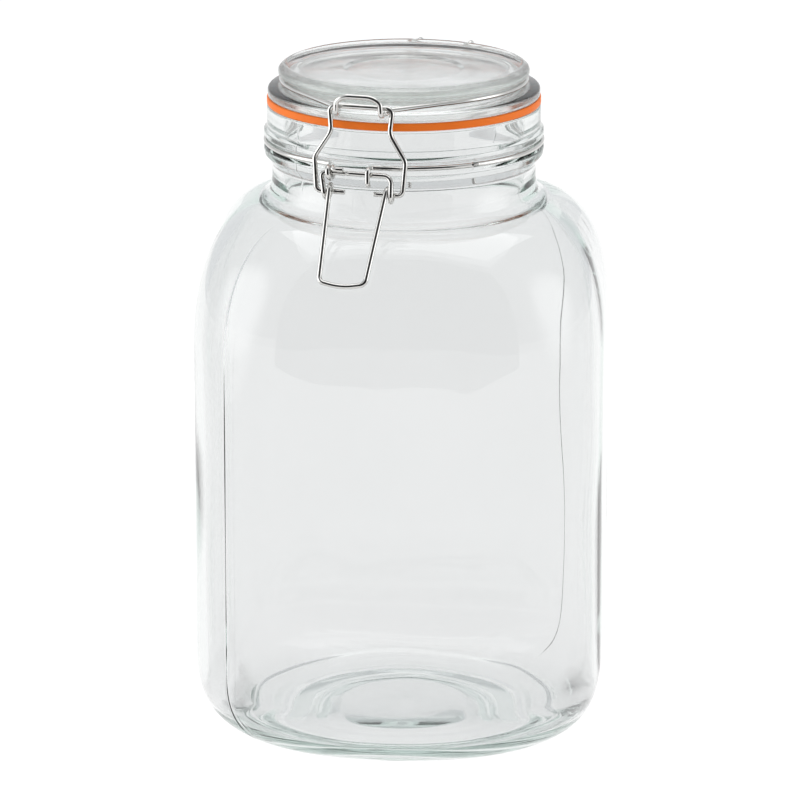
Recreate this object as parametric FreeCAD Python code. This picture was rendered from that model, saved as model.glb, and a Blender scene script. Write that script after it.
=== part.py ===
import FreeCAD, Part
import math
import os

# Swing-top storage jar of about three litres: a rounded-square glass jar with a round
# neck, a glass lid on a rubber seal, and a closure bent from four lengths of spring wire.
# Millimetres. +Z is up, the origin is on the jar's axis at the plane it stands on, and
# the jar's flat faces look along -Y, +X, +Y and -X. The closure is turned on the neck.

V = FreeCAD.Vector
Z_AXIS = V(0, 0, 1)

# ---- driving dimensions ---------------------------------------------------------------
BODY_HALF = 73.0            # half the width across the flats
CORNER_R = 48.0             # radius of the vertical corners
SHOULDER_TOP_Z = 198.5      # where the shoulder meets the neck's fillet
SHOULDER_FALL = 50.0        # height of the shoulder
SHOULDER_POWER = 2.25       # 2 is an ellipse, more is squarer
BASE_Z = 2.3                # underside of the base, above the foot ring
BASE_FALL = 32.0            # height of the rounding at the base
BASE_INSET = 27.0           # how far that rounding reaches inwards
BASE_POWER = 2.3
WALL = 3.6                  # side wall
FLOOR_Z = 8.6               # inside floor
FLOOR_FALL = 18.0           # height of the inside rounding
FLOOR_INSET = 14.0          # how far it reaches inwards
FOOT_R = 44.5               # middle of the foot ring
NECK_R = 47.15
MOUTH_R = 43.0              # bore of the neck
NECK_Z = 205.0              # where the straight neck begins
LAND_Z = 232.35             # sealing face
FINISH_R = 48.9             # neck just under the sealing face
BEAD_R = 50.1               # the two beads beside the wire's groove
UPPER_BEAD_Z = 222.4
LOWER_BEAD_Z = 216.2
SEAL_BORE_R = 43.7
SEAL_R = 48.9
SEAL_Z = 232.4
SEAL_T = 2.8
LID_R = 48.6                # lid flange
RIM_R = 44.8                # lid's upper rim
LID_TOP_Z = 246.8
WIRE_R = 0.9
CLOSURE_TURN = -12.5        # degrees about Z, from the front face towards -X

GROOVE_Z = 219.3            # neck ring's groove
NECK_RING_R = 49.35
LID_GROOVE_Z = 241.1        # lid ring's groove
LID_RING_R = 43.55

# Closure points as (distance in front of the axis, height).
LEVER_PIVOT = (53.2, 217.7)
BAIL_PIVOT = (53.4, 211.0)
BAIL_BAR = (51.2, 241.3)
HANDLE_END = (73.9, 183.6)
HINGE = (-51.8, 242.0)      # behind the axis

COIL_R = 2.35               # middle line of the lever's coils
COIL_PITCH = 2.05
COIL_X = 12.3               # outer turn of each coil
LEVER_LEFT_X = -14.0
LEVER_RIGHT_X = 11.6
LEVER_JOIN_X = -4.9         # where the lever wire's two cut ends meet
HANDLE_X = 8.4
EYE_R = 2.1                 # middle line of the neck ring's eye
CURL_R = 2.15               # middle line of the hinge curls
CURL_X = 9.6
POST_X = 13.6


# ---- helpers --------------------------------------------------------------------------
def rounded_square(half, corner, z):
    """A closed wire: four flats and four round corners."""
    corner = min(corner, half - 0.25)
    flat = half - corner
    edges = []
    for quarter in range(4):
        turn = math.radians(90 * quarter)
        c, s = math.cos(turn), math.sin(turn)

        def spot(x, y):
            return V(x * c - y * s, x * s + y * c, z)

        bend = corner * math.sqrt(0.5)
        edges.append(Part.LineSegment(spot(half, -flat), spot(half, flat)).toShape())
        edges.append(Part.Arc(spot(half, flat), spot(flat + bend, flat + bend),
                              spot(flat, half)).toShape())
    return Part.Wire(edges)


def loft(sections):
    """A smooth solid through (half width, corner radius, height) sections."""
    wires = [rounded_square(half, corner, z) for half, corner, z in sections]
    return Part.makeLoft(wires, True, False)


def rounding(start_half, end_half, start_z, fall, power, steps):
    """(half, z) down a rounded edge, from the top of a shoulder to the straight wall."""
    spots = []
    for i in range(steps + 1):
        a = math.radians(90.0 * i / steps)
        out = math.sin(a) ** (2.0 / power)
        down = 1.0 - math.cos(a) ** (2.0 / power) if i < steps else 1.0
        spots.append((start_half + (end_half - start_half) * out, start_z - fall * down))
    return spots


def revolve(outline):
    """A solid turned about Z from (radius, z) points, or (radius, z, fillet) points."""
    points = [V(p[0], 0, p[1]) for p in outline]
    radii = [p[2] if len(p) > 2 else 0.0 for p in outline]
    edges = rounded_edges(points, radii, True)
    return Part.Face(Part.Wire(edges)).revolve(V(0, 0, 0), Z_AXIS, 360)


def rounded_edges(points, radii, closed):
    """Straight runs with a tangent arc at every point that has a radius."""
    count = len(points)
    entry = list(points)
    leave = list(points)
    middle = [None] * count
    for i in range(count):
        if radii[i] <= 0 or (not closed and i in (0, count - 1)):
            continue
        here = points[i]
        back = (points[i - 1] - here).normalize()
        ahead = (points[(i + 1) % count] - here).normalize()
        turn = math.pi - back.getAngle(ahead)
        if turn < 1e-4:
            continue
        reach = radii[i] * math.tan(turn / 2)
        entry[i] = here + back * reach
        leave[i] = here + ahead * reach
        sag = radii[i] / math.cos(turn / 2) - radii[i]
        middle[i] = here + (back + ahead).normalize() * sag
    edges = []
    for i in range(count):
        if middle[i] is not None:
            edges.append(Part.Arc(entry[i], middle[i], leave[i]).toShape())
        if not closed and i == count - 1:
            break
        ahead = entry[(i + 1) % count]
        if leave[i].distanceToPoint(ahead) > 1e-5:
            edges.append(Part.LineSegment(leave[i], ahead).toShape())
    return edges


def wire_solid(route):
    """Round wire along (point, bend radius) pairs, turned to the closure's place."""
    points = [p for p, _ in route]
    radii = [r for _, r in route]
    path = Part.Wire(rounded_edges(points, radii, False))
    start = path.Edges[0]
    aim = start.tangentAt(start.FirstParameter)
    ring = Part.Wire(Part.makeCircle(WIRE_R, points[0], aim))
    solid = path.makePipeShell([ring], True, False)
    return turned(solid)


def turned(shape):
    return shape.rotate(V(0, 0, 0), Z_AXIS, CLOSURE_TURN)


def at(x, side, z=None):
    """Closure point from x and (distance in front, height)."""
    if z is None:
        side, z = side
    return V(x, -side, z)


def ring_route(radius, z, first, last, step):
    """Corner points of a circle's arc, by angle from the front towards +X."""
    count = max(1, int(round(abs(last - first) / step)))
    each = (last - first) / count
    far = radius / math.cos(math.radians(each / 2))
    route = []
    for i in range(count):
        a = math.radians(first + each * (i + 0.5))
        route.append((at(far * math.sin(a), far * math.cos(a), z), radius))
    return route


def coil_route(centre, radius, first, last, count, x_first, x_last):
    """Corner points of a turn about an axis along X, by angle from the front upwards."""
    each = (last - first) / count
    far = radius / math.cos(math.radians(each / 2))
    route = []
    for i in range(count):
        a = math.radians(first + each * (i + 0.5))
        x = x_first + (x_last - x_first) * (i + 0.5) / count
        spot = (centre[0] + far * math.cos(a), centre[1] + far * math.sin(a))
        route.append((at(x, spot), radius))
    return route


def tangent_angle(centre, radius, target, leaving):
    """Angle on a circle, run front side down, whose tangent line meets the target."""
    dx, dz = target[0] - centre[0], target[1] - centre[1]
    slant = math.degrees(math.acos(radius / math.hypot(dx, dz)))
    aim = math.degrees(math.atan2(dz, dx))
    return aim + slant if leaving else aim - slant


# ---- glass ----------------------------------------------------------------------------
def jar_outside():
    neck_fillet = [(47.5, NECK_Z), (47.55, 203.2), (48.1, 201.4), (49.5, 199.7)]
    sections = [(half, 47.2, z) for half, z in neck_fillet]
    shoulder = rounding(47.5, BODY_HALF, SHOULDER_TOP_Z, SHOULDER_FALL, SHOULDER_POWER, 10)
    sections += [(half, CORNER_R, z) for half, z in shoulder[1:]]
    top = loft(sections)
    wall_top = SHOULDER_TOP_Z - SHOULDER_FALL
    wall_bottom = BASE_Z + BASE_FALL
    wall = Part.Face(rounded_square(BODY_HALF, CORNER_R, wall_bottom))
    wall = wall.extrude(V(0, 0, wall_top - wall_bottom))
    base = rounding(BODY_HALF - BASE_INSET, BODY_HALF, -BASE_Z, BASE_FALL, BASE_POWER, 9)
    bottom = loft([(half, CORNER_R, -z) for half, z in base])
    return top.fuse(wall).fuse(bottom)


def jar_inside():
    half = BODY_HALF - WALL
    corner = CORNER_R - WALL
    top_z = SHOULDER_TOP_Z - WALL
    top = [(43.4, corner, 200.0), (43.6, corner, 198.0), (44.8, corner, 196.2)]
    shoulder = rounding(43.6, half, top_z, SHOULDER_FALL - 1, SHOULDER_POWER, 10)
    top += [(h, corner, z) for h, z in shoulder[1:]]
    upper = loft(top)
    wall_top = top_z - SHOULDER_FALL + 1
    wall_bottom = FLOOR_Z + FLOOR_FALL
    wall = Part.Face(rounded_square(half, corner, wall_bottom))
    wall = wall.extrude(V(0, 0, wall_top - wall_bottom))
    floor = rounding(half - FLOOR_INSET, half, -FLOOR_Z, FLOOR_FALL, BASE_POWER, 8)
    rounder = (half - FLOOR_INSET - corner) / FLOOR_INSET
    lower = loft([(h, corner + (half - h) * rounder, -z) for h, z in floor])
    bore = Part.makeCylinder(MOUTH_R, 60, V(0, 0, 190))
    punt = revolve([(0, FLOOR_Z - 1), (30, FLOOR_Z - 1), (30, FLOOR_Z), (22, FLOOR_Z + 1.6, 20),
                    (0, FLOOR_Z + 2.2)])
    return upper.fuse(wall).fuse(lower).fuse(bore).cut(punt)


def neck_finish():
    groove_r = NECK_RING_R - WIRE_R - 0.05
    outline = [(MOUTH_R - 2, 196.0), (NECK_R, 196.0), (NECK_R, 211.4, 3.0),
               (BEAD_R - 0.3, LOWER_BEAD_Z - 1.5, 1.0), (BEAD_R, LOWER_BEAD_Z + 0.9, 0.9),
               (groove_r, LOWER_BEAD_Z + 2.0, 0.6), (groove_r, UPPER_BEAD_Z - 1.9, 0.6),
               (BEAD_R, UPPER_BEAD_Z - 1.1, 0.9), (BEAD_R - 0.1, UPPER_BEAD_Z + 0.9, 1.0),
               (FINISH_R, UPPER_BEAD_Z + 2.4, 1.5), (FINISH_R, LAND_Z, 1.0),
               (MOUTH_R - 2, LAND_Z)]
    return revolve(outline)


def foot():
    outline = [(30.5, BASE_Z + 1.5), (30.5, BASE_Z - 0.2, 1.0), (34.0, BASE_Z - 0.5, 4.0),
               (FOOT_R - 2.3, 0, 6.0), (FOOT_R + 2.4, 0, 2.2), (FOOT_R + 4.7, BASE_Z - 0.3, 1.2),
               (FOOT_R + 4.7, BASE_Z + 1.5)]
    return revolve(outline)


def jar_body():
    mouth = Part.makeCylinder(MOUTH_R, 60, V(0, 0, 190))
    outside = jar_outside().fuse(neck_finish()).fuse(foot())
    hollow = revolve([(0, BASE_Z - 1), (30.4, BASE_Z - 1), (30.4, BASE_Z - 0.2),
                      (28.6, BASE_Z + 1.0, 1.0), (24, BASE_Z + 1.7, 10), (0, BASE_Z + 2.2)])
    return outside.cut(jar_inside()).cut(mouth).cut(hollow)


def lid():
    top = LID_TOP_Z
    outline = [(0, 239.2), (38.6, 239.2, 1.5), (38.6, 231.8, 0.9), (41.8, 231.8, 0.9),
               (41.8, SEAL_Z + SEAL_T, 0.4), (LID_R, SEAL_Z + SEAL_T, 0.7),
               (LID_R, 238.3, 1.1), (44.0, 239.5, 1.0), (LID_RING_R - WIRE_R - 0.05, 239.9, 0.6),
               (LID_RING_R - WIRE_R - 0.05, 242.3, 0.5), (RIM_R - 0.1, 242.5, 1.5),
               (RIM_R + 0.1, top - 1.6, 1.8), (42.4, top, 2.6), (38.0, top - 0.9, 3.0),
               (29.0, top - 1.7, 3.0), (21.6, top - 2.0, 1.2), (20.0, top - 2.6, 1.2),
               (0, top - 2.8)]
    return revolve(outline)


def gasket():
    outline = [(SEAL_BORE_R, SEAL_Z, 0.3), (SEAL_R, SEAL_Z, 0.6),
               (SEAL_R, SEAL_Z + SEAL_T, 0.6), (SEAL_BORE_R, SEAL_Z + SEAL_T, 0.3)]
    return revolve(outline)


# ---- closure wires ---------------------------------------------------------------------
def mirrored(route):
    return [(V(-p.x, p.y, p.z), r) for p, r in reversed(route)]


def lid_ring():
    """Ring in the lid's groove: two troughs and a finger tab in front, curls behind."""
    z = LID_GROOVE_Z
    tab = [(at(5.4, 55.1, 245.7), 5.4), (at(8.0, 54.7, 243.7), 2.3), (at(8.2, 54.45, 239.1), 1.3),
           (at(8.3, 50.1, 239.0), 1.4), (at(10.4, 48.15, 240.2), 1.6)]
    ring = ring_route(LID_RING_R, z, 40.0, 163.0, 20.5)
    last = math.radians(163.0)
    run = (LID_RING_R * math.sin(last) - CURL_X) / math.cos(math.radians(17.0))
    turn_y = -LID_RING_R * math.cos(last) + run * math.sin(math.radians(17.0))
    back = [(at(CURL_X, -turn_y, z), 2.2)]
    under = tangent_angle((-HINGE[0], HINGE[1]), CURL_R, (turn_y, z), False)
    curl = coil_route((-HINGE[0], HINGE[1]), CURL_R, -95.0, 190.0, 8, CURL_X, CURL_X)
    curl = [(V(p.x, -p.y, p.z), r) for p, r in curl]
    end = V(CURL_X, -HINGE[0] + CURL_R * math.cos(math.radians(190.0)),
            HINGE[1] + CURL_R * math.sin(math.radians(190.0)))
    half = tab + ring + back + curl + [(end, 0)]
    return wire_solid(mirrored(half) + half)


def neck_ring():
    """Ring in the neck's groove: eye and open hook in front, hinge bracket behind."""
    z = GROOVE_Z
    hook = [(at(3.6, 54.2, 213.9), 0), (at(3.6, 55.35, 214.6), 1.1), (at(3.6, 55.35, 219.9), 1.5),
            (at(3.6, 51.7, 219.9), 1.4), (at(13.4, 48.15, 219.4), 12.0)]
    right = ring_route(NECK_RING_R, z, 25.0, 157.0, 22.0)
    post = [(at(POST_X, -49.0, z), 2.6), (at(POST_X, -51.8, 225.0), 6.0),
            (at(POST_X, HINGE[0], HINGE[1]), 2.2)]
    left_post = mirrored(post)
    left = ring_route(NECK_RING_R, z, 203.0, 335.0, 22.0)
    eye = [(at(-11.35, 49.2, 219.8), 1.6)]
    eye += coil_route(LEVER_PIVOT, EYE_R, 90.0, -315.0, 11, -11.35, -9.35)
    angle = math.radians(45.0)
    exit_side = (LEVER_PIVOT[0] + EYE_R * math.cos(angle), LEVER_PIVOT[1] + EYE_R * math.sin(angle))
    eye += [(at(-9.2, exit_side), 0), (at(-5.5, exit_side), 0)]
    return wire_solid(hook + right + post + left_post + left + eye)


def bail():
    """Hexagonal loop: top bar for the lid ring's troughs, ends turned in as pivots."""
    def lean(z):
        share = (BAIL_BAR[1] - z) / (BAIL_BAR[1] - BAIL_PIVOT[1])
        return BAIL_BAR[0] + (BAIL_PIVOT[0] - BAIL_BAR[0]) * share

    half = [(at(11.6, BAIL_BAR), 2.2), (at(10.6, lean(232.3), 232.3), 6.0),
            (at(16.6, lean(223.0), 223.0), 4.0), (at(15.7, BAIL_PIVOT), 1.8),
            (at(5.3, BAIL_PIVOT), 0)]
    return wire_solid(mirrored(half) + half)


def lever():
    """Pull handle: pivot bar on top, a coil each side for the bail's ends."""
    first = tangent_angle(BAIL_PIVOT, COIL_R, LEVER_PIVOT, False)
    last = tangent_angle(BAIL_PIVOT, COIL_R, HANDLE_END, True) - 360.0
    coil = coil_route(BAIL_PIVOT, COIL_R, first, last, 9, COIL_X, COIL_X - COIL_PITCH)
    low = [(at(HANDLE_X, HANDLE_END), 2.4)]
    right = [(at(LEVER_RIGHT_X, LEVER_PIVOT), 3.0)] + coil + low
    left = mirrored([(at(-LEVER_LEFT_X, LEVER_PIVOT), 1.5)] + coil + low)
    middle = (at(0, HANDLE_END[0] + 0.7, HANDLE_END[1] - 1.5), 24.0)
    start = (at(LEVER_JOIN_X + 0.15, LEVER_PIVOT), 0)
    end = (at(LEVER_JOIN_X - 0.15, LEVER_PIVOT), 0)
    return wire_solid([start] + right + [middle] + left + [end])


# ---- output ---------------------------------------------------------------------------
PIECES = {
    "jar_body": jar_body,
    "neck_ring": neck_ring,
    "lid": lid,
    "gasket": gasket,
    "lid_ring": lid_ring,
    "lever": lever,
    "bail": bail,
}


def main():
    os.makedirs("parts", exist_ok=True)
    for name, make in PIECES.items():
        shape = make()
        if len(shape.Solids) == 1:
            shape = shape.Solids[0]
        box = shape.BoundBox
        print("%-10s %-9s valid %s closed %s solids %d volume %.1f  x %.2f..%.2f y %.2f..%.2f z %.2f..%.2f"
              % (name, shape.ShapeType, shape.isValid(), shape.isClosed(), len(shape.Solids),
                 shape.Volume, box.XMin, box.XMax, box.YMin, box.YMax, box.ZMin, box.ZMax))
        shape.exportStep("parts/%s.step" % name)


main()
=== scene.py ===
import math

import bmesh
import bpy
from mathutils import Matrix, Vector, noise


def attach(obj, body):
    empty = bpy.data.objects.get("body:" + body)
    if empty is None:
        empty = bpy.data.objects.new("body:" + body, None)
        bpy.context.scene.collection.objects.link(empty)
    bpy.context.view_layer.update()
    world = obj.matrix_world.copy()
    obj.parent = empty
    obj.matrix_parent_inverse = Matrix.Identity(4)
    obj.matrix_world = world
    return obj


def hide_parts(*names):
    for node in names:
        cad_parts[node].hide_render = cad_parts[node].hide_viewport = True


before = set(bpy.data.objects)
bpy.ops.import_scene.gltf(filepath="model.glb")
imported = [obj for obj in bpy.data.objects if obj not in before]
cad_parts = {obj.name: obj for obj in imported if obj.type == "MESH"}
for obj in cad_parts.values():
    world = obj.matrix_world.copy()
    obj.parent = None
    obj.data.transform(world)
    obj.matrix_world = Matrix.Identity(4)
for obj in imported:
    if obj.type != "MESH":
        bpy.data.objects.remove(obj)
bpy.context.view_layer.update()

MM = 0.001
TURN = math.radians(-12.5)      # the closure's turn on the neck
SEAMS = (math.radians(225.0), math.radians(45.0))   # mould seams on two corners
SEAM_HEIGHT, SEAM_WIDTH_DEG = 0.30, 0.30
# angles in degrees and weights that average a rounded square's outline into softer corners
CORNER_SOFTENING = ((-4.5, 0.12), (-2.2, 0.22), (0, 0.32), (2.2, 0.22), (4.5, 0.12))

# Sizes are in millimetres, with z = 0 at the foot
HALF_WIDTH, CORNER_R = 73.0, 48.0            # outside of the body
WALL, INSIDE_CORNER_R = 3.6, 44.4
BORE_R = 43.0
FLOOR_INSET = 14.0                           # of the inside floor's rounding
LID_TOP = 246.8


# ---- outlines ---------------------------------------------------------------------------
def filleted(outline, closed=False, arc_deg=12.0, run_mm=2.2):
    """Dense (r, z) points through (r, z) or (r, z, radius) corners, in millimetres."""
    pts = [Vector((p[0], p[1])) for p in outline]
    rad = [p[2] if len(p) > 2 else 0.0 for p in outline]
    out = []
    n = len(pts)

    def run_to(target):
        start = out[-1]
        count = max(1, int((target - start).length / run_mm))
        for k in range(1, count + 1):
            out.append(start.lerp(target, k / count))

    for i in range(n):
        here = pts[i]
        if rad[i] <= 0 or (not closed and i in (0, n - 1)):
            if out:
                run_to(here)
            else:
                out.append(here.copy())
            continue
        back = (pts[i - 1] - here).normalized()
        ahead = (pts[(i + 1) % n] - here).normalized()
        turn = math.pi - back.angle(ahead)
        if turn < 1e-3:
            if out:
                run_to(here)
            else:
                out.append(here.copy())
            continue
        room = 0.49 * min((pts[i - 1] - here).length, (pts[(i + 1) % n] - here).length)
        reach = min(rad[i] * math.tan(turn / 2), room)
        r = reach / math.tan(turn / 2)
        centre = here + (back + ahead).normalized() * (r / math.cos(turn / 2))
        first, last = here + back * reach, here + ahead * reach
        if out:
            run_to(first)
        else:
            out.append(first)
        a0 = math.atan2(first.y - centre.y, first.x - centre.x)
        a1 = math.atan2(last.y - centre.y, last.x - centre.x)
        d = (a1 - a0 + math.pi) % (2 * math.pi) - math.pi
        steps = max(3, int(math.degrees(abs(d)) / arc_deg) + 1)
        for k in range(1, steps + 1):
            a = a0 + d * k / steps
            out.append(centre + Vector((math.cos(a), math.sin(a))) * r)
    if closed:
        run_to(out[0])
        out.pop()
    clean = [out[0]]
    for p in out[1:]:
        if (p - clean[-1]).length > 0.02:
            clean.append(p)
    return [(p.x, p.y) for p in clean]


def reach_at(half, corner, angle):
    """Distance from the axis to a rounded square's outline, at an angle."""
    corner = min(corner, half)
    flat = half - corner
    a = angle % (math.pi / 2)
    if a > math.pi / 4:
        a = math.pi / 2 - a
    c, s = math.cos(a), math.sin(a)
    if half * s <= flat * c:
        return half / c
    b = flat * (c + s)
    return b + math.sqrt(max(b * b - 2 * flat * flat + corner * corner, 0.0))


def even_columns():
    return [math.radians(1.5 * i) for i in range(240)]


def seam_columns():
    """Angles round the axis, closer together beside the two mould seams."""
    spots = even_columns()
    close = (-0.9, -0.6, -0.4, -0.25, -0.12, 0, 0.12, 0.25, 0.4, 0.6, 0.9)
    for seam in SEAMS:
        spots = [a for a in spots if abs(a - seam) > math.radians(1.0)]
        spots += [seam + math.radians(d) for d in close]
    return sorted(spots)


def rounding(start, end, top, fall, power, steps):
    """(half width, z) along a quarter of a superellipse, level at its start."""
    rows = []
    for i in range(steps + 1):
        a = math.radians(90.0 * i / steps)
        out = math.sin(a) ** (2.0 / power)
        down = 1.0 - max(math.cos(a), 0.0) ** (2.0 / power)
        rows.append((start + (end - start) * out, top - fall * down))
    return rows


def mesh_object(name, verts, faces):
    mesh = bpy.data.meshes.new(name)
    mesh.from_pydata([tuple(c * MM for c in v) for v in verts], [], faces)
    bm = bmesh.new()
    bm.from_mesh(mesh)
    bmesh.ops.recalc_face_normals(bm, faces=bm.faces)
    bm.to_mesh(mesh)
    bm.free()
    for p in mesh.polygons:
        p.use_smooth = True
    obj = bpy.data.objects.new(name, mesh)
    bpy.context.scene.collection.objects.link(obj)
    return obj


def shell(name, rows, angles, point):
    """A closed surface of rings, from one pole on the axis to the other. rows hold what
    point needs to give a vertex from (row, angle)."""
    verts, faces = [], []
    n = len(angles)
    verts.append(point(rows[0], 0.0))
    for row in rows[1:-1]:
        for a in angles:
            verts.append(point(row, a))
    verts.append(point(rows[-1], 0.0))
    first = 1
    for k in range(n):
        faces.append((0, first + (k + 1) % n, first + k))
    for j in range(len(rows) - 3):
        a, b = first + j * n, first + (j + 1) * n
        for k in range(n):
            m = (k + 1) % n
            faces.append((a + k, a + m, b + m, b + k))
    last = first + (len(rows) - 3) * n
    end = len(verts) - 1
    for k in range(n):
        faces.append((last + k, last + (k + 1) % n, end))
    return mesh_object(name, verts, faces)


# ---- the jar ------------------------------------------------------------------------------
def jar_rows():
    """Rows (half width, corner radius, z, kind) from under the base, round the outside, down
    the bore, to the middle of the inside floor. Kinds: f foot, o outside, n neck, b bore,
    i inside, c inside floor."""
    rows = []
    under = filleted([(0, 4.5), (22, 4.1, 14), (27.4, 3.1, 6.0), (31.4, 1.9, 4.0), (35, 1.5, 6),
                      (42.0, 0.0, 8.0), (46.6, 0.0, 4.0), (50.2, 2.2, 5.0), (53.0, 2.95)])
    rows += [(r, r, z, "f") for r, z in under]
    base = rounding(HALF_WIDTH - 27.0, HALF_WIDTH, -2.3, 32.0, 2.3, 30)
    rows += [(half, CORNER_R, -z, "o") for half, z in base if half > 54.2]
    z = 34.3
    while z < 146.0:
        z += 3.2
        rows.append((HALF_WIDTH, CORNER_R, z, "o"))
    shoulder = rounding(47.5, HALF_WIDTH, 198.5, 50.0, 2.25, 34)
    for half, z in reversed(shoulder):
        if z > rows[-1][2] + 0.3 and half > 50.2:
            rows.append((half, CORNER_R, z, "o"))
    for half, z in ((49.3, 199.6), (48.4, 200.6), (47.9, 201.6), (47.6, 202.9), (47.4, 204.6)):
        rows.append((half, 47.4, z, "n"))
    finish = filleted([(47.15, 206.0), (47.15, 211.4, 3.0), (49.8, 214.7, 1.0), (50.1, 217.1, 0.9),
                       (48.4, 218.2, 0.6), (48.4, 220.5, 0.6), (50.1, 221.3, 0.9),
                       (50.0, 223.3, 1.0), (48.9, 224.8, 1.5), (48.9, 232.35, 0.9),
                       (46.0, 232.35), (BORE_R, 232.35, 0.8), (BORE_R, 204.0)],
                      arc_deg=11.0, run_mm=1.6)
    rows += [(r, r, z, "n") for r, z in finish]
    inner = [(BORE_R, 202.0), (43.1, 200.2), (43.5, 198.4), (44.4, 196.6)]
    rows += [(r, r, z, "b") for r, z in inner]
    half = HALF_WIDTH - WALL
    for h, z in rounding(43.6, half, 194.9, 49.0, 2.25, 34):
        if z < 195.0 and h > 46.6:
            rows.append((h, INSIDE_CORNER_R, z, "i"))
    z = rows[-1][2]
    while z > 31.0:
        z -= 3.2
        rows.append((half, INSIDE_CORNER_R, z, "i"))
    floor = rounding(half - FLOOR_INSET, half, -8.6, 18.0, 2.3, 24)
    # the corner radius grows to the half width at the floor, so that the floor is round
    rounder = (half - FLOOR_INSET - INSIDE_CORNER_R) / FLOOR_INSET
    for h, z in reversed(floor):
        if -z < rows[-1][2] - 0.2 and h > 57.8:
            rows.append((h, INSIDE_CORNER_R + (half - h) * rounder, -z, "i"))
    # a low ridge round the inside floor, the floor itself, and the rise over the foot's hollow
    for r, z in ((57.3, 8.95), (57.0, 9.22), (56.6, 9.42), (56.2, 9.42), (55.8, 9.22),
                 (55.4, 8.90), (55.0, 8.58), (54.5, 8.36), (53.7, 8.28), (51.0, 8.34),
                 (47.0, 8.48), (43.0, 8.55), (38.0, 8.6), (33.0, 8.65), (30.0, 8.75),
                 (26.5, 9.3), (22.0, 10.0), (16.0, 10.45), (10.0, 10.7), (5.0, 10.8),
                 (0.0, 10.8)):
        rows.append((r, r, z, "c"))
    return rows


def seam_height(angle):
    nearest = min(abs((angle - s + math.pi) % (2 * math.pi) - math.pi) for s in SEAMS)
    away = math.degrees(nearest)
    return SEAM_HEIGHT * math.exp(-(away / SEAM_WIDTH_DEG) ** 2)


def jar_point(row, angle):
    """A point of the jar, with soft corners, seams and the slight unevenness of blown glass."""
    half, corner, z, kind = row
    if half == 0:
        return (0.0, 0.0, z)
    if kind in "oi":
        r = 0.0
        for spread, weight in CORNER_SOFTENING:
            r += weight * reach_at(half, corner, angle + math.radians(spread))
    else:
        r = half
    c, s = math.cos(angle), math.sin(angle)
    if kind in "ibc" and half > 1:
        spot = Vector((c * 2.6, s * 2.6, z / 46.0))
        tall = Vector((c * 5.2 + 9, s * 5.2, z / 90.0))
        push = 0.30 * noise.noise(spot) + 0.16 * noise.noise(tall)
        share = 1.0 if kind == "i" else 0.25
        if kind == "c":
            z += 0.10 * noise.noise(Vector((c * half / 14, s * half / 14, 3.0)))
            if half > 46:
                r += 0.7 * noise.noise(Vector((c * 2.2 + 5, s * 2.2, 8.0)))
        else:
            r += push * share
    if kind == "o":
        spot = Vector((c * 2.0 + 4, s * 2.0, z / 60.0))
        r += 0.10 * noise.noise(spot)
        fade = min(1.0, max(0.0, (z - 4) / 8.0)) * min(1.0, max(0.0, (199.0 - z) / 14.0))
        r += seam_height(angle) * fade
    if kind == "n" and 206 < z < 231 and half > 46:
        r += 0.35 * seam_height(angle)
    return (r * c, r * s, z)


def lid_rows():
    """Rows (r, z) from under the lid, round its skirt, flange and rim, to its middle."""
    outline = [(0, 239.2), (38.6, 239.2, 1.5), (38.6, 231.8, 0.9), (41.8, 231.8, 0.9),
               (41.8, 235.2, 0.4), (48.6, 235.2, 0.7), (48.6, 238.3, 1.1), (44.0, 239.5, 1.0),
               (42.6, 239.9, 0.6), (42.6, 242.3, 0.5), (44.7, 242.5, 1.5),
               (44.9, LID_TOP - 1.6, 1.8), (42.4, LID_TOP, 2.6), (38.0, LID_TOP - 0.9, 6.0),
               (29.0, LID_TOP - 1.7, 14.0), (21.6, LID_TOP - 2.0, 1.2),
               (20.0, LID_TOP - 2.6, 1.2), (0, LID_TOP - 2.8)]
    return filleted(outline, arc_deg=11.0, run_mm=2.0)


def lid_point(row, angle):
    r, z = row
    c, s = math.cos(angle), math.sin(angle)
    if 3 < r < 38 and z > 240:
        z += 0.05 * noise.noise(Vector((c * r / 9, s * r / 9, 1.0)))
    if 3 < r < 38 and z < 240:
        z += 0.10 * noise.noise(Vector((c * r / 11, s * r / 11, 7.0)))
    return (r * c, r * s, z)


def ring(name, outline, angles, point):
    """A closed ring turned from an outline that never meets the axis."""
    rows = filleted(outline, closed=True, arc_deg=14.0, run_mm=0.9)
    verts, faces = [], []
    n, m = len(angles), len(rows)
    for r, z in rows:
        for a in angles:
            verts.append(point(r, z, a))
    for j in range(m):
        a, b = j * n, ((j + 1) % m) * n
        for k in range(n):
            q = (k + 1) % n
            faces.append((a + k, a + q, b + q, b + k))
    return mesh_object(name, verts, faces)


# ---- wires --------------------------------------------------------------------------------
# Points in the plane of a wire's swing are (distance in front of the axis, height).
WIRE_R = 0.9
CUT_END = ((0.0, 0.80), (0.07, 0.93), (0.20, 1.0))  # distance from a cut end, share of WIRE_R
LEVER_PIVOT = (53.2, 217.7)
BAIL_PIVOT = (53.4, 211.0)
BAIL_BAR = (51.2, 241.3)
HANDLE_END = (73.9, 183.6)
HINGE = (-51.8, 242.0)
COIL_R, COIL_PITCH, COIL_X = 2.35, 2.05, 12.3
LEVER_LEFT_X, LEVER_RIGHT_X, LEVER_JOIN_X, HANDLE_X = -14.0, 11.6, -4.9, 8.4
EYE_R, EYE_X, CURL_R, CURL_X, POST_X = 2.1, -11.35, 2.15, 9.6, 13.6
GROOVE_Z, NECK_RING_R, LID_GROOVE_Z, LID_RING_R = 219.3, 49.35, 241.1, 43.55


def at(x, front, z=None):
    """A point x to the right of the axis and front before it, as at(x, (front, z)) too."""
    if z is None:
        front, z = front
    return Vector((x, -front, z))


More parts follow.
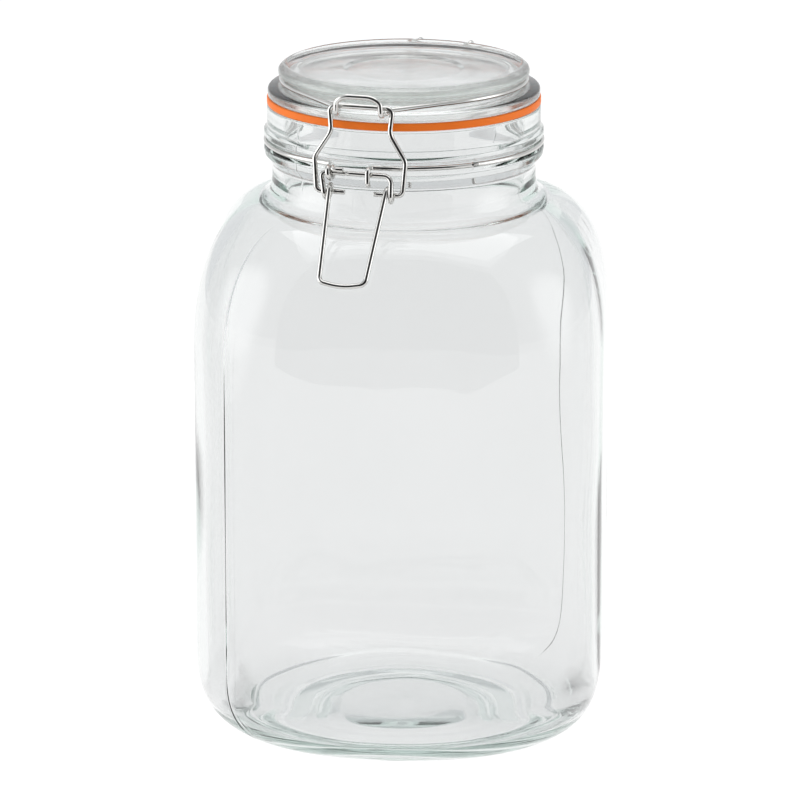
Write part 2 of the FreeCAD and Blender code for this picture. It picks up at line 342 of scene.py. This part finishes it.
def ring_route(radius, z, first, last, step):
    """Corners whose arcs make part of a circle round the axis, from one angle to another."""
    count = max(1, int(round(abs(last - first) / step)))
    each = (last - first) / count
    far = radius / math.cos(math.radians(each / 2))
    spots = []
    for i in range(count):
        a = math.radians(first + each * (i + 0.5))
        spots.append((at(far * math.sin(a), far * math.cos(a), z), radius))
    return spots


def coil_route(centre, radius, first, last, count, x_first, x_last):
    """Corners whose arcs make a coil about an axis along x."""
    each = (last - first) / count
    far = radius / math.cos(math.radians(each / 2))
    spots = []
    for i in range(count):
        a = math.radians(first + each * (i + 0.5))
        x = x_first + (x_last - x_first) * (i + 0.5) / count
        spot = (centre[0] + far * math.cos(a), centre[1] + far * math.sin(a))
        spots.append((at(x, spot), radius))
    return spots


def tangent_angle(centre, radius, target, leaving):
    """Angle at which a straight run to or from target touches a circle."""
    dx, dz = target[0] - centre[0], target[1] - centre[1]
    slant = math.degrees(math.acos(radius / math.hypot(dx, dz)))
    aim = math.degrees(math.atan2(dz, dx))
    return aim + slant if leaving else aim - slant


def mirrored(route):
    return [(Vector((-p.x, p.y, p.z)), r) for p, r in reversed(route)]


def centre_line(route):
    """Dense points: straight runs with a tangent arc at every corner."""
    pts = [p for p, _ in route]
    out = [pts[0].copy()]

    def run_to(target):
        start = out[-1]
        length = (target - start).length
        if length < 1e-4:
            return
        count = max(1, int(length / 1.6))
        for k in range(1, count + 1):
            out.append(start.lerp(target, k / count))

    for i in range(1, len(pts) - 1):
        r = route[i][1]
        here = pts[i]
        back = (pts[i - 1] - here).normalized()
        ahead = (pts[i + 1] - here).normalized()
        turn = math.pi - back.angle(ahead)
        if r <= 0 or turn < 1e-3:
            run_to(here)
            continue
        reach = r * math.tan(turn / 2)
        first, last = here + back * reach, here + ahead * reach
        centre = here + (back + ahead).normalized() * (r / math.cos(turn / 2))
        run_to(first)
        u = (first - centre).normalized()
        w = last - centre
        v = (w - u * w.dot(u)).normalized()
        steps = max(2, int(math.degrees(turn) / 7.5) + 1, int(turn * r / 1.8) + 1)
        for k in range(1, steps + 1):
            a = turn * k / steps
            out.append(centre + (u * math.cos(a) + v * math.sin(a)) * r)
    run_to(pts[-1])
    return out


def tube(name, route, sides=20):
    """Round wire with two slightly burred cut ends."""
    line = centre_line(route)
    tangents = []
    for i in range(len(line)):
        a, b = line[max(0, i - 1)], line[min(len(line) - 1, i + 1)]
        tangents.append((b - a).normalized())
    t = tangents[0]
    side = t.cross(Vector((0, 0, 1)))
    if side.length < 0.1:
        side = t.cross(Vector((0, 1, 0)))
    side.normalize()
    frames = []
    for i, t in enumerate(tangents):
        if i:
            side = (side - t * side.dot(t)).normalized()
        frames.append((side.copy(), t.cross(side)))
    rings = []
    start, end = line[0], line[-1]
    t0, t1 = tangents[0], tangents[-1]
    for away, share in CUT_END:
        rings.append((start + t0 * away, frames[0], WIRE_R * share))
    for i in range(1, len(line) - 1):
        if (line[i] - start).length > 0.3 or i > 4:
            if (line[i] - end).length > 0.3 or i < len(line) - 5:
                rings.append((line[i], frames[i], WIRE_R))
    for away, share in reversed(CUT_END):
        rings.append((end - t1 * away, frames[-1], WIRE_R * share))
    c, s = math.cos(TURN), math.sin(TURN)
    verts, faces = [], []

    def put(p):
        verts.append((p.x * c - p.y * s, p.x * s + p.y * c, p.z))

    for spot, (u, v), r in rings:
        for k in range(sides):
            a = 2 * math.pi * k / sides
            put(spot + (u * math.cos(a) + v * math.sin(a)) * r)
    for j in range(len(rings) - 1):
        for k in range(sides):
            m = (k + 1) % sides
            faces.append((j * sides + k, j * sides + m,
                          (j + 1) * sides + m, (j + 1) * sides + k))
    put(start + t0 * 0.03)
    put(end - t1 * 0.03)
    a, b = len(verts) - 2, len(verts) - 1
    last = (len(rings) - 1) * sides
    for k in range(sides):
        m = (k + 1) % sides
        faces.append((a, m, k))
        faces.append((last + k, last + m, b))
    return mesh_object(name, verts, faces)


def lid_ring_route():
    """Finger tab, trough, half the groove, run to the back and curl, and the same mirrored."""
    z = LID_GROOVE_Z
    tab = [(at(5.2, 55.1, 245.6), 6.2), (at(8.0, 54.7, 243.5), 2.4), (at(8.2, 54.45, 239.1), 1.3),
           (at(8.3, 50.1, 239.0), 1.4), (at(10.4, 48.15, 240.2), 1.6)]
    leave = 163.0
    around = ring_route(LID_RING_R, z, 40.0, leave, 20.5)
    last = math.radians(leave)
    slant = math.radians(180.0 - leave)
    run = (LID_RING_R * math.sin(last) - CURL_X) / math.cos(slant)
    turn_y = -LID_RING_R * math.cos(last) + run * math.sin(slant)
    back = [(at(CURL_X, -turn_y, z), 2.2)]
    curl_end = 190.0
    curl = coil_route((-HINGE[0], HINGE[1]), CURL_R, -95.0, curl_end, 8, CURL_X, CURL_X)
    curl = [(Vector((p.x, -p.y, p.z)), r) for p, r in curl]
    end = Vector((CURL_X, -HINGE[0] + CURL_R * math.cos(math.radians(curl_end)),
                  HINGE[1] + CURL_R * math.sin(math.radians(curl_end))))
    half = tab + around + back + curl + [(end, 0)]
    return mirrored(half) + half


def neck_ring_route():
    """Open hook, half the groove, hinge bracket, the other half, eye and stub."""
    z = GROOVE_Z
    hook = [(at(3.6, 54.2, 213.9), 0), (at(3.6, 55.35, 214.6), 1.1), (at(3.6, 55.35, 219.9), 1.5),
            (at(3.6, 51.7, 219.9), 1.4), (at(13.4, 48.15, 219.4), 12.0)]
    right = ring_route(NECK_RING_R, z, 25.0, 157.0, 22.0)
    post = [(at(POST_X, -49.0, z), 2.6), (at(POST_X, -51.8, 225.0), 6.0),
            (at(POST_X, HINGE[0], HINGE[1]), 2.2)]
    left = ring_route(NECK_RING_R, z, 203.0, 335.0, 22.0)
    eye = [(at(EYE_X, 49.2, 219.8), 1.6)]
    eye += coil_route(LEVER_PIVOT, EYE_R, 90.0, -315.0, 11, EYE_X, EYE_X + 2.0)
    a = math.radians(45.0)
    side = (LEVER_PIVOT[0] + EYE_R * math.cos(a), LEVER_PIVOT[1] + EYE_R * math.sin(a))
    eye += [(at(-9.2, side), 0), (at(-5.5, side), 0)]
    return hook + right + post + mirrored(post) + left + eye


def bail_route():
    """Half of the hexagonal loop, from its top bar to its end in the coil, and mirrored."""
    def lean(z):
        share = (BAIL_BAR[1] - z) / (BAIL_BAR[1] - BAIL_PIVOT[1])
        return BAIL_BAR[0] + (BAIL_PIVOT[0] - BAIL_BAR[0]) * share

    half = [(at(11.6, BAIL_BAR), 2.2), (at(10.6, lean(232.3), 232.3), 6.0),
            (at(16.6, lean(223.0), 223.0), 4.0), (at(15.7, BAIL_PIVOT), 1.8),
            (at(5.3, BAIL_PIVOT), 0)]
    return mirrored(half) + half


def lever_route():
    """Pivot bar, right coil, handle, left coil and the rest of the pivot bar."""
    first = tangent_angle(BAIL_PIVOT, COIL_R, LEVER_PIVOT, False)
    last = tangent_angle(BAIL_PIVOT, COIL_R, HANDLE_END, True) - 360.0
    coil = coil_route(BAIL_PIVOT, COIL_R, first, last, 9, COIL_X, COIL_X - COIL_PITCH)
    low = [(at(HANDLE_X, HANDLE_END), 2.4)]
    right = [(at(LEVER_RIGHT_X, LEVER_PIVOT), 3.0)] + coil + low
    left = mirrored([(at(-LEVER_LEFT_X, LEVER_PIVOT), 1.5)] + coil + low)
    middle = (at(0, HANDLE_END[0] + 0.7, HANDLE_END[1] - 1.5), 24.0)
    start = (at(LEVER_JOIN_X + 0.15, LEVER_PIVOT), 0)
    end = (at(LEVER_JOIN_X - 0.15, LEVER_PIVOT), 0)
    return [start] + right + [middle] + left + [end]


# ---- materials ----------------------------------------------------------------------------
def new_material(name):
    mat = bpy.data.materials.new(name)
    mat.use_nodes = True
    tree = mat.node_tree
    for node in list(tree.nodes):
        tree.nodes.remove(node)
    out = tree.nodes.new("ShaderNodeOutputMaterial")
    shader = tree.nodes.new("ShaderNodeBsdfPrincipled")
    tree.links.new(shader.outputs["BSDF"], out.inputs["Surface"])
    return mat, tree, shader, out


def noise_node(tree, scale, detail, stretch=(1, 1, 1)):
    coord = tree.nodes.new("ShaderNodeTexCoord")
    mapping = tree.nodes.new("ShaderNodeMapping")
    mapping.inputs["Scale"].default_value = stretch
    tree.links.new(coord.outputs["Object"], mapping.inputs["Vector"])
    tex = tree.nodes.new("ShaderNodeTexNoise")
    tex.inputs["Scale"].default_value = scale
    tex.inputs["Detail"].default_value = detail
    tex.inputs["Roughness"].default_value = 0.5
    tree.links.new(mapping.outputs["Vector"], tex.inputs["Vector"])
    return tex


def mix_colour(tree, factor, a, b):
    mix = tree.nodes.new("ShaderNodeMix")
    mix.data_type = "RGBA"
    tree.links.new(factor, mix.inputs["Factor"])
    mix.inputs[6].default_value = (*a, 1)
    mix.inputs[7].default_value = (*b, 1)
    return mix.outputs[2]


def ranged(tree, value, low, high):
    node = tree.nodes.new("ShaderNodeMapRange")
    tree.links.new(value, node.inputs["Value"])
    node.inputs["To Min"].default_value = low
    node.inputs["To Max"].default_value = high
    return node.outputs["Result"]


def bump(tree, height, strength, distance):
    node = tree.nodes.new("ShaderNodeBump")
    node.inputs["Strength"].default_value = strength
    node.inputs["Distance"].default_value = distance
    tree.links.new(height, node.inputs["Height"])
    return node.outputs["Normal"]


def glass(name, tint_a, tint_b, absorb, density, wave, rough):
    mat, tree, shader, out = new_material(name)
    shader.inputs["Transmission Weight"].default_value = 1.0
    shader.inputs["IOR"].default_value = 1.5
    shader.inputs["Metallic"].default_value = 0.0
    patch = noise_node(tree, 18.0, 3.0)
    tint = mix_colour(tree, patch.outputs["Fac"], tint_a, tint_b)
    tree.links.new(tint, shader.inputs["Base Color"])
    smear = noise_node(tree, 30.0, 4.0, (1, 1, 0.4))
    gloss = ranged(tree, smear.outputs["Fac"], rough * 0.2, rough)
    tree.links.new(gloss, shader.inputs["Roughness"])
    slow = noise_node(tree, 26.0, 1.0, (1, 1, 0.35))
    tree.links.new(bump(tree, slow.outputs["Fac"], wave, 0.0012), shader.inputs["Normal"])
    volume = tree.nodes.new("ShaderNodeVolumeAbsorption")
    volume.inputs["Color"].default_value = (*absorb, 1)
    volume.inputs["Density"].default_value = density
    tree.links.new(volume.outputs["Volume"], out.inputs["Volume"])
    return mat


def steel(name):
    mat, tree, shader, _ = new_material(name)
    shader.inputs["Metallic"].default_value = 1.0
    patch = noise_node(tree, 140.0, 4.0)
    tint = mix_colour(tree, patch.outputs["Fac"], (0.56, 0.555, 0.54), (0.70, 0.69, 0.67))
    tree.links.new(tint, shader.inputs["Base Color"])
    fine = noise_node(tree, 900.0, 3.0)
    tree.links.new(ranged(tree, fine.outputs["Fac"], 0.05, 0.17), shader.inputs["Roughness"])
    draw = noise_node(tree, 1500.0, 2.0)
    tree.links.new(bump(tree, draw.outputs["Fac"], 0.15, 0.00008), shader.inputs["Normal"])
    return mat


def rubber(name):
    mat, tree, shader, _ = new_material(name)
    patch = noise_node(tree, 60.0, 4.0)
    tint = mix_colour(tree, patch.outputs["Fac"], (0.76, 0.145, 0.008), (0.86, 0.19, 0.014))
    tree.links.new(tint, shader.inputs["Base Color"])
    grain = noise_node(tree, 1400.0, 3.0)
    tree.links.new(ranged(tree, grain.outputs["Fac"], 0.38, 0.62), shader.inputs["Roughness"])
    shader.inputs["Specular IOR Level"].default_value = 0.2
    tree.links.new(bump(tree, grain.outputs["Fac"], 0.3, 0.00012), shader.inputs["Normal"])
    return mat


GLASS = glass("clear_glass_jar", (0.897, 0.897, 0.900), (0.868, 0.870, 0.872),
              (0.54, 0.73, 0.66), 8.0, wave=0.25, rough=0.03)
LID_GLASS = glass("clear_glass_lid", (0.992, 0.994, 0.992), (0.975, 0.98, 0.976),
                  (0.52, 0.66, 0.58), 4.0, wave=0.15, rough=0.23)
STEEL = steel("closure_steel")
RUBBER = rubber("seal_rubber")


def finish_piece(obj, node, body, material):
    obj.data.materials.append(material)
    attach(obj, body)
    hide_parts(node)
    return obj


PLAIN = even_columns()

finish_piece(shell("glass_jar", jar_rows(), seam_columns(), jar_point),
             "jar_body", "jar", GLASS)
finish_piece(shell("glass_lid", lid_rows(), PLAIN, lid_point),
             "lid", "lid_group", LID_GLASS)


def seal_point(r, z, a):
    bulge = 0.05 * noise.noise(Vector((math.cos(a) * 5, math.sin(a) * 5, z / 2)))
    return ((r + bulge) * math.cos(a), (r + bulge) * math.sin(a), z)


SEAL = [(43.7, 232.4, 0.3), (48.9, 232.4, 0.6), (48.9, 235.2, 0.6), (43.7, 235.2, 0.3)]
finish_piece(ring("rubber_gasket", SEAL, PLAIN, seal_point),
             "gasket", "lid_group", RUBBER)
finish_piece(tube("wire_lid_ring", lid_ring_route()),
             "lid_ring", "lid_group", STEEL)
finish_piece(tube("wire_neck_ring", neck_ring_route()),
             "neck_ring", "jar", STEEL)
finish_piece(tube("wire_lever", lever_route()), "lever", "lever_body", STEEL)
finish_piece(tube("wire_bail", bail_route()), "bail", "bail_body", STEEL)


# ---- stage --------------------------------------------------------------------------------
def panel(name, verts, material):
    mesh = bpy.data.meshes.new(name)
    mesh.from_pydata(verts, [], [tuple(range(len(verts)))])
    obj = bpy.data.objects.new(name, mesh)
    obj.data.materials.append(material)
    bpy.context.scene.collection.objects.link(obj)
    return obj


FLOOR, floor_tree, floor_shader, _ = new_material("studio_floor")
floor_shader.inputs["Base Color"].default_value = (0.05, 0.05, 0.05, 1)
floor_shader.inputs["Roughness"].default_value = 0.95
floor_shader.inputs["Specular IOR Level"].default_value = 0.0
floor_shader.inputs["Emission Color"].default_value = (1, 1, 1, 1)
floor_shader.inputs["Emission Strength"].default_value = 1.02
FLOOR_R = 12.0                               # in metres
RIM = [math.radians(7.5 * i) for i in range(48)]
panel("floor", [(FLOOR_R * math.cos(a), FLOOR_R * math.sin(a), 0) for a in RIM], FLOOR)


def aimed(spot, target):
    """The turn that points a light or a camera at spot towards target."""
    return (Vector(target) - Vector(spot)).to_track_quat("-Z", "Y").to_euler()


def area(name, spot, aim, width, height, radiance):
    data = bpy.data.lights.new(name, "AREA")
    data.shape = "RECTANGLE"
    data.size = width
    data.size_y = height
    data.energy = radiance * math.pi * width * height
    obj = bpy.data.objects.new(name, data)
    obj.location = spot
    obj.rotation_euler = aimed(spot, aim)
    bpy.context.scene.collection.objects.link(obj)
    return obj


def soft_panel(name, spot, width, height, radiance):
    """An upright sheet of light facing the object, fading towards its edges, which only
    lights the scene and shows in reflections."""
    mat, tree, shader, out = new_material(name)
    shader.inputs["Base Color"].default_value = (0, 0, 0, 1)
    shader.inputs["Specular IOR Level"].default_value = 0.0
    shader.inputs["Emission Color"].default_value = (1, 1, 1, 1)
    coord = tree.nodes.new("ShaderNodeTexCoord")
    mapping = tree.nodes.new("ShaderNodeMapping")
    mapping.inputs["Scale"].default_value = (0, 2 / width, 2 / height)
    tree.links.new(coord.outputs["Object"], mapping.inputs["Vector"])
    reach = tree.nodes.new("ShaderNodeVectorMath")
    reach.operation = "LENGTH"
    tree.links.new(mapping.outputs["Vector"], reach.inputs[0])
    fade = tree.nodes.new("ShaderNodeMapRange")
    fade.interpolation_type = "SMOOTHERSTEP"
    fade.inputs["From Min"].default_value = 0.25
    fade.inputs["From Max"].default_value = 1.0
    fade.inputs["To Min"].default_value = radiance
    fade.inputs["To Max"].default_value = 0.0
    tree.links.new(reach.outputs["Value"], fade.inputs["Value"])
    tree.links.new(fade.outputs["Result"], shader.inputs["Emission Strength"])
    clear = tree.nodes.new("ShaderNodeBsdfTransparent")
    both = tree.nodes.new("ShaderNodeAddShader")
    tree.links.new(shader.outputs["BSDF"], both.inputs[0])
    tree.links.new(clear.outputs["BSDF"], both.inputs[1])
    tree.links.new(both.outputs["Shader"], out.inputs["Surface"])
    w, h = width / 2, height / 2
    obj = panel(name, [(0, -w, -h), (0, w, -h), (0, w, h), (0, -w, h)], mat)
    obj.location = spot
    obj.visible_camera = False
    obj.visible_transmission = False
    return obj


def reflected_card(name, low, high, y, shade):
    """A dark card that only shiny surfaces show, as the unlit side of the studio. low and
    high are (x, z) of its corners."""
    mat, _, shader, _ = new_material(name)
    shader.inputs["Base Color"].default_value = (shade, shade, shade, 1)
    shader.inputs["Specular IOR Level"].default_value = 0.0
    obj = panel(name, [(low[0], y, low[1]), (high[0], y, low[1]), (high[0], y, high[1]),
                       (low[0], y, high[1])], mat)
    obj.visible_camera = False
    obj.visible_transmission = False
    obj.visible_diffuse = False
    obj.visible_shadow = False
    return obj


reflected_card("dark_card", (-0.50, 0.001), (0.62, 1.1), -0.60, 0.02)
soft_panel("soft_left", (-0.55, -0.14, 0.30), 0.70, 0.80, 2.5)
soft_panel("soft_right", (0.60, -0.08, 0.33), 0.60, 0.74, 1.8)
area("top", (0.0, 0.25, 1.30), (0, 0, 0.1), 1.2, 1.2, 1.1)

# the surroundings are paler behind the object than before it
world = bpy.data.worlds.new("studio")
bpy.context.scene.world = world
world.use_nodes = True
sky = world.node_tree
back = sky.nodes["Background"]
sky_coord = sky.nodes.new("ShaderNodeTexCoord")
sky_split = sky.nodes.new("ShaderNodeSeparateXYZ")
sky.links.new(sky_coord.outputs["Generated"], sky_split.inputs["Vector"])
sky_fall = sky.nodes.new("ShaderNodeMapRange")
sky_fall.interpolation_type = "SMOOTHSTEP"
sky_fall.inputs["From Min"].default_value = -0.98
sky_fall.inputs["From Max"].default_value = 0.10
sky_fall.inputs["To Min"].default_value = 0.40
sky_fall.inputs["To Max"].default_value = 0.84
sky.links.new(sky_split.outputs["Y"], sky_fall.inputs["Value"])
back.inputs["Color"].default_value = (0.97, 0.985, 1.0, 1)
sky.links.new(sky_fall.outputs["Result"], back.inputs["Strength"])

CAMERA_SPOT = (0.1512, -1.9216, 0.6555)
camera = bpy.data.cameras.new("camera")
camera.lens = 248.6
camera.sensor_width = 36.0
camera.shift_x = -0.005
camera_object = bpy.data.objects.new("camera", camera)
camera_object.location = CAMERA_SPOT
camera_object.rotation_euler = aimed(CAMERA_SPOT, (0, 0, 0.122))
bpy.context.scene.collection.objects.link(camera_object)
bpy.context.scene.camera = camera_object
bpy.context.scene.view_settings.view_transform = "Standard"
bpy.context.scene.cycles.max_bounces = 24
bpy.context.scene.cycles.transmission_bounces = 20
bpy.context.scene.cycles.glossy_bounces = 20
bpy.context.scene.cycles.transparent_max_bounces = 16
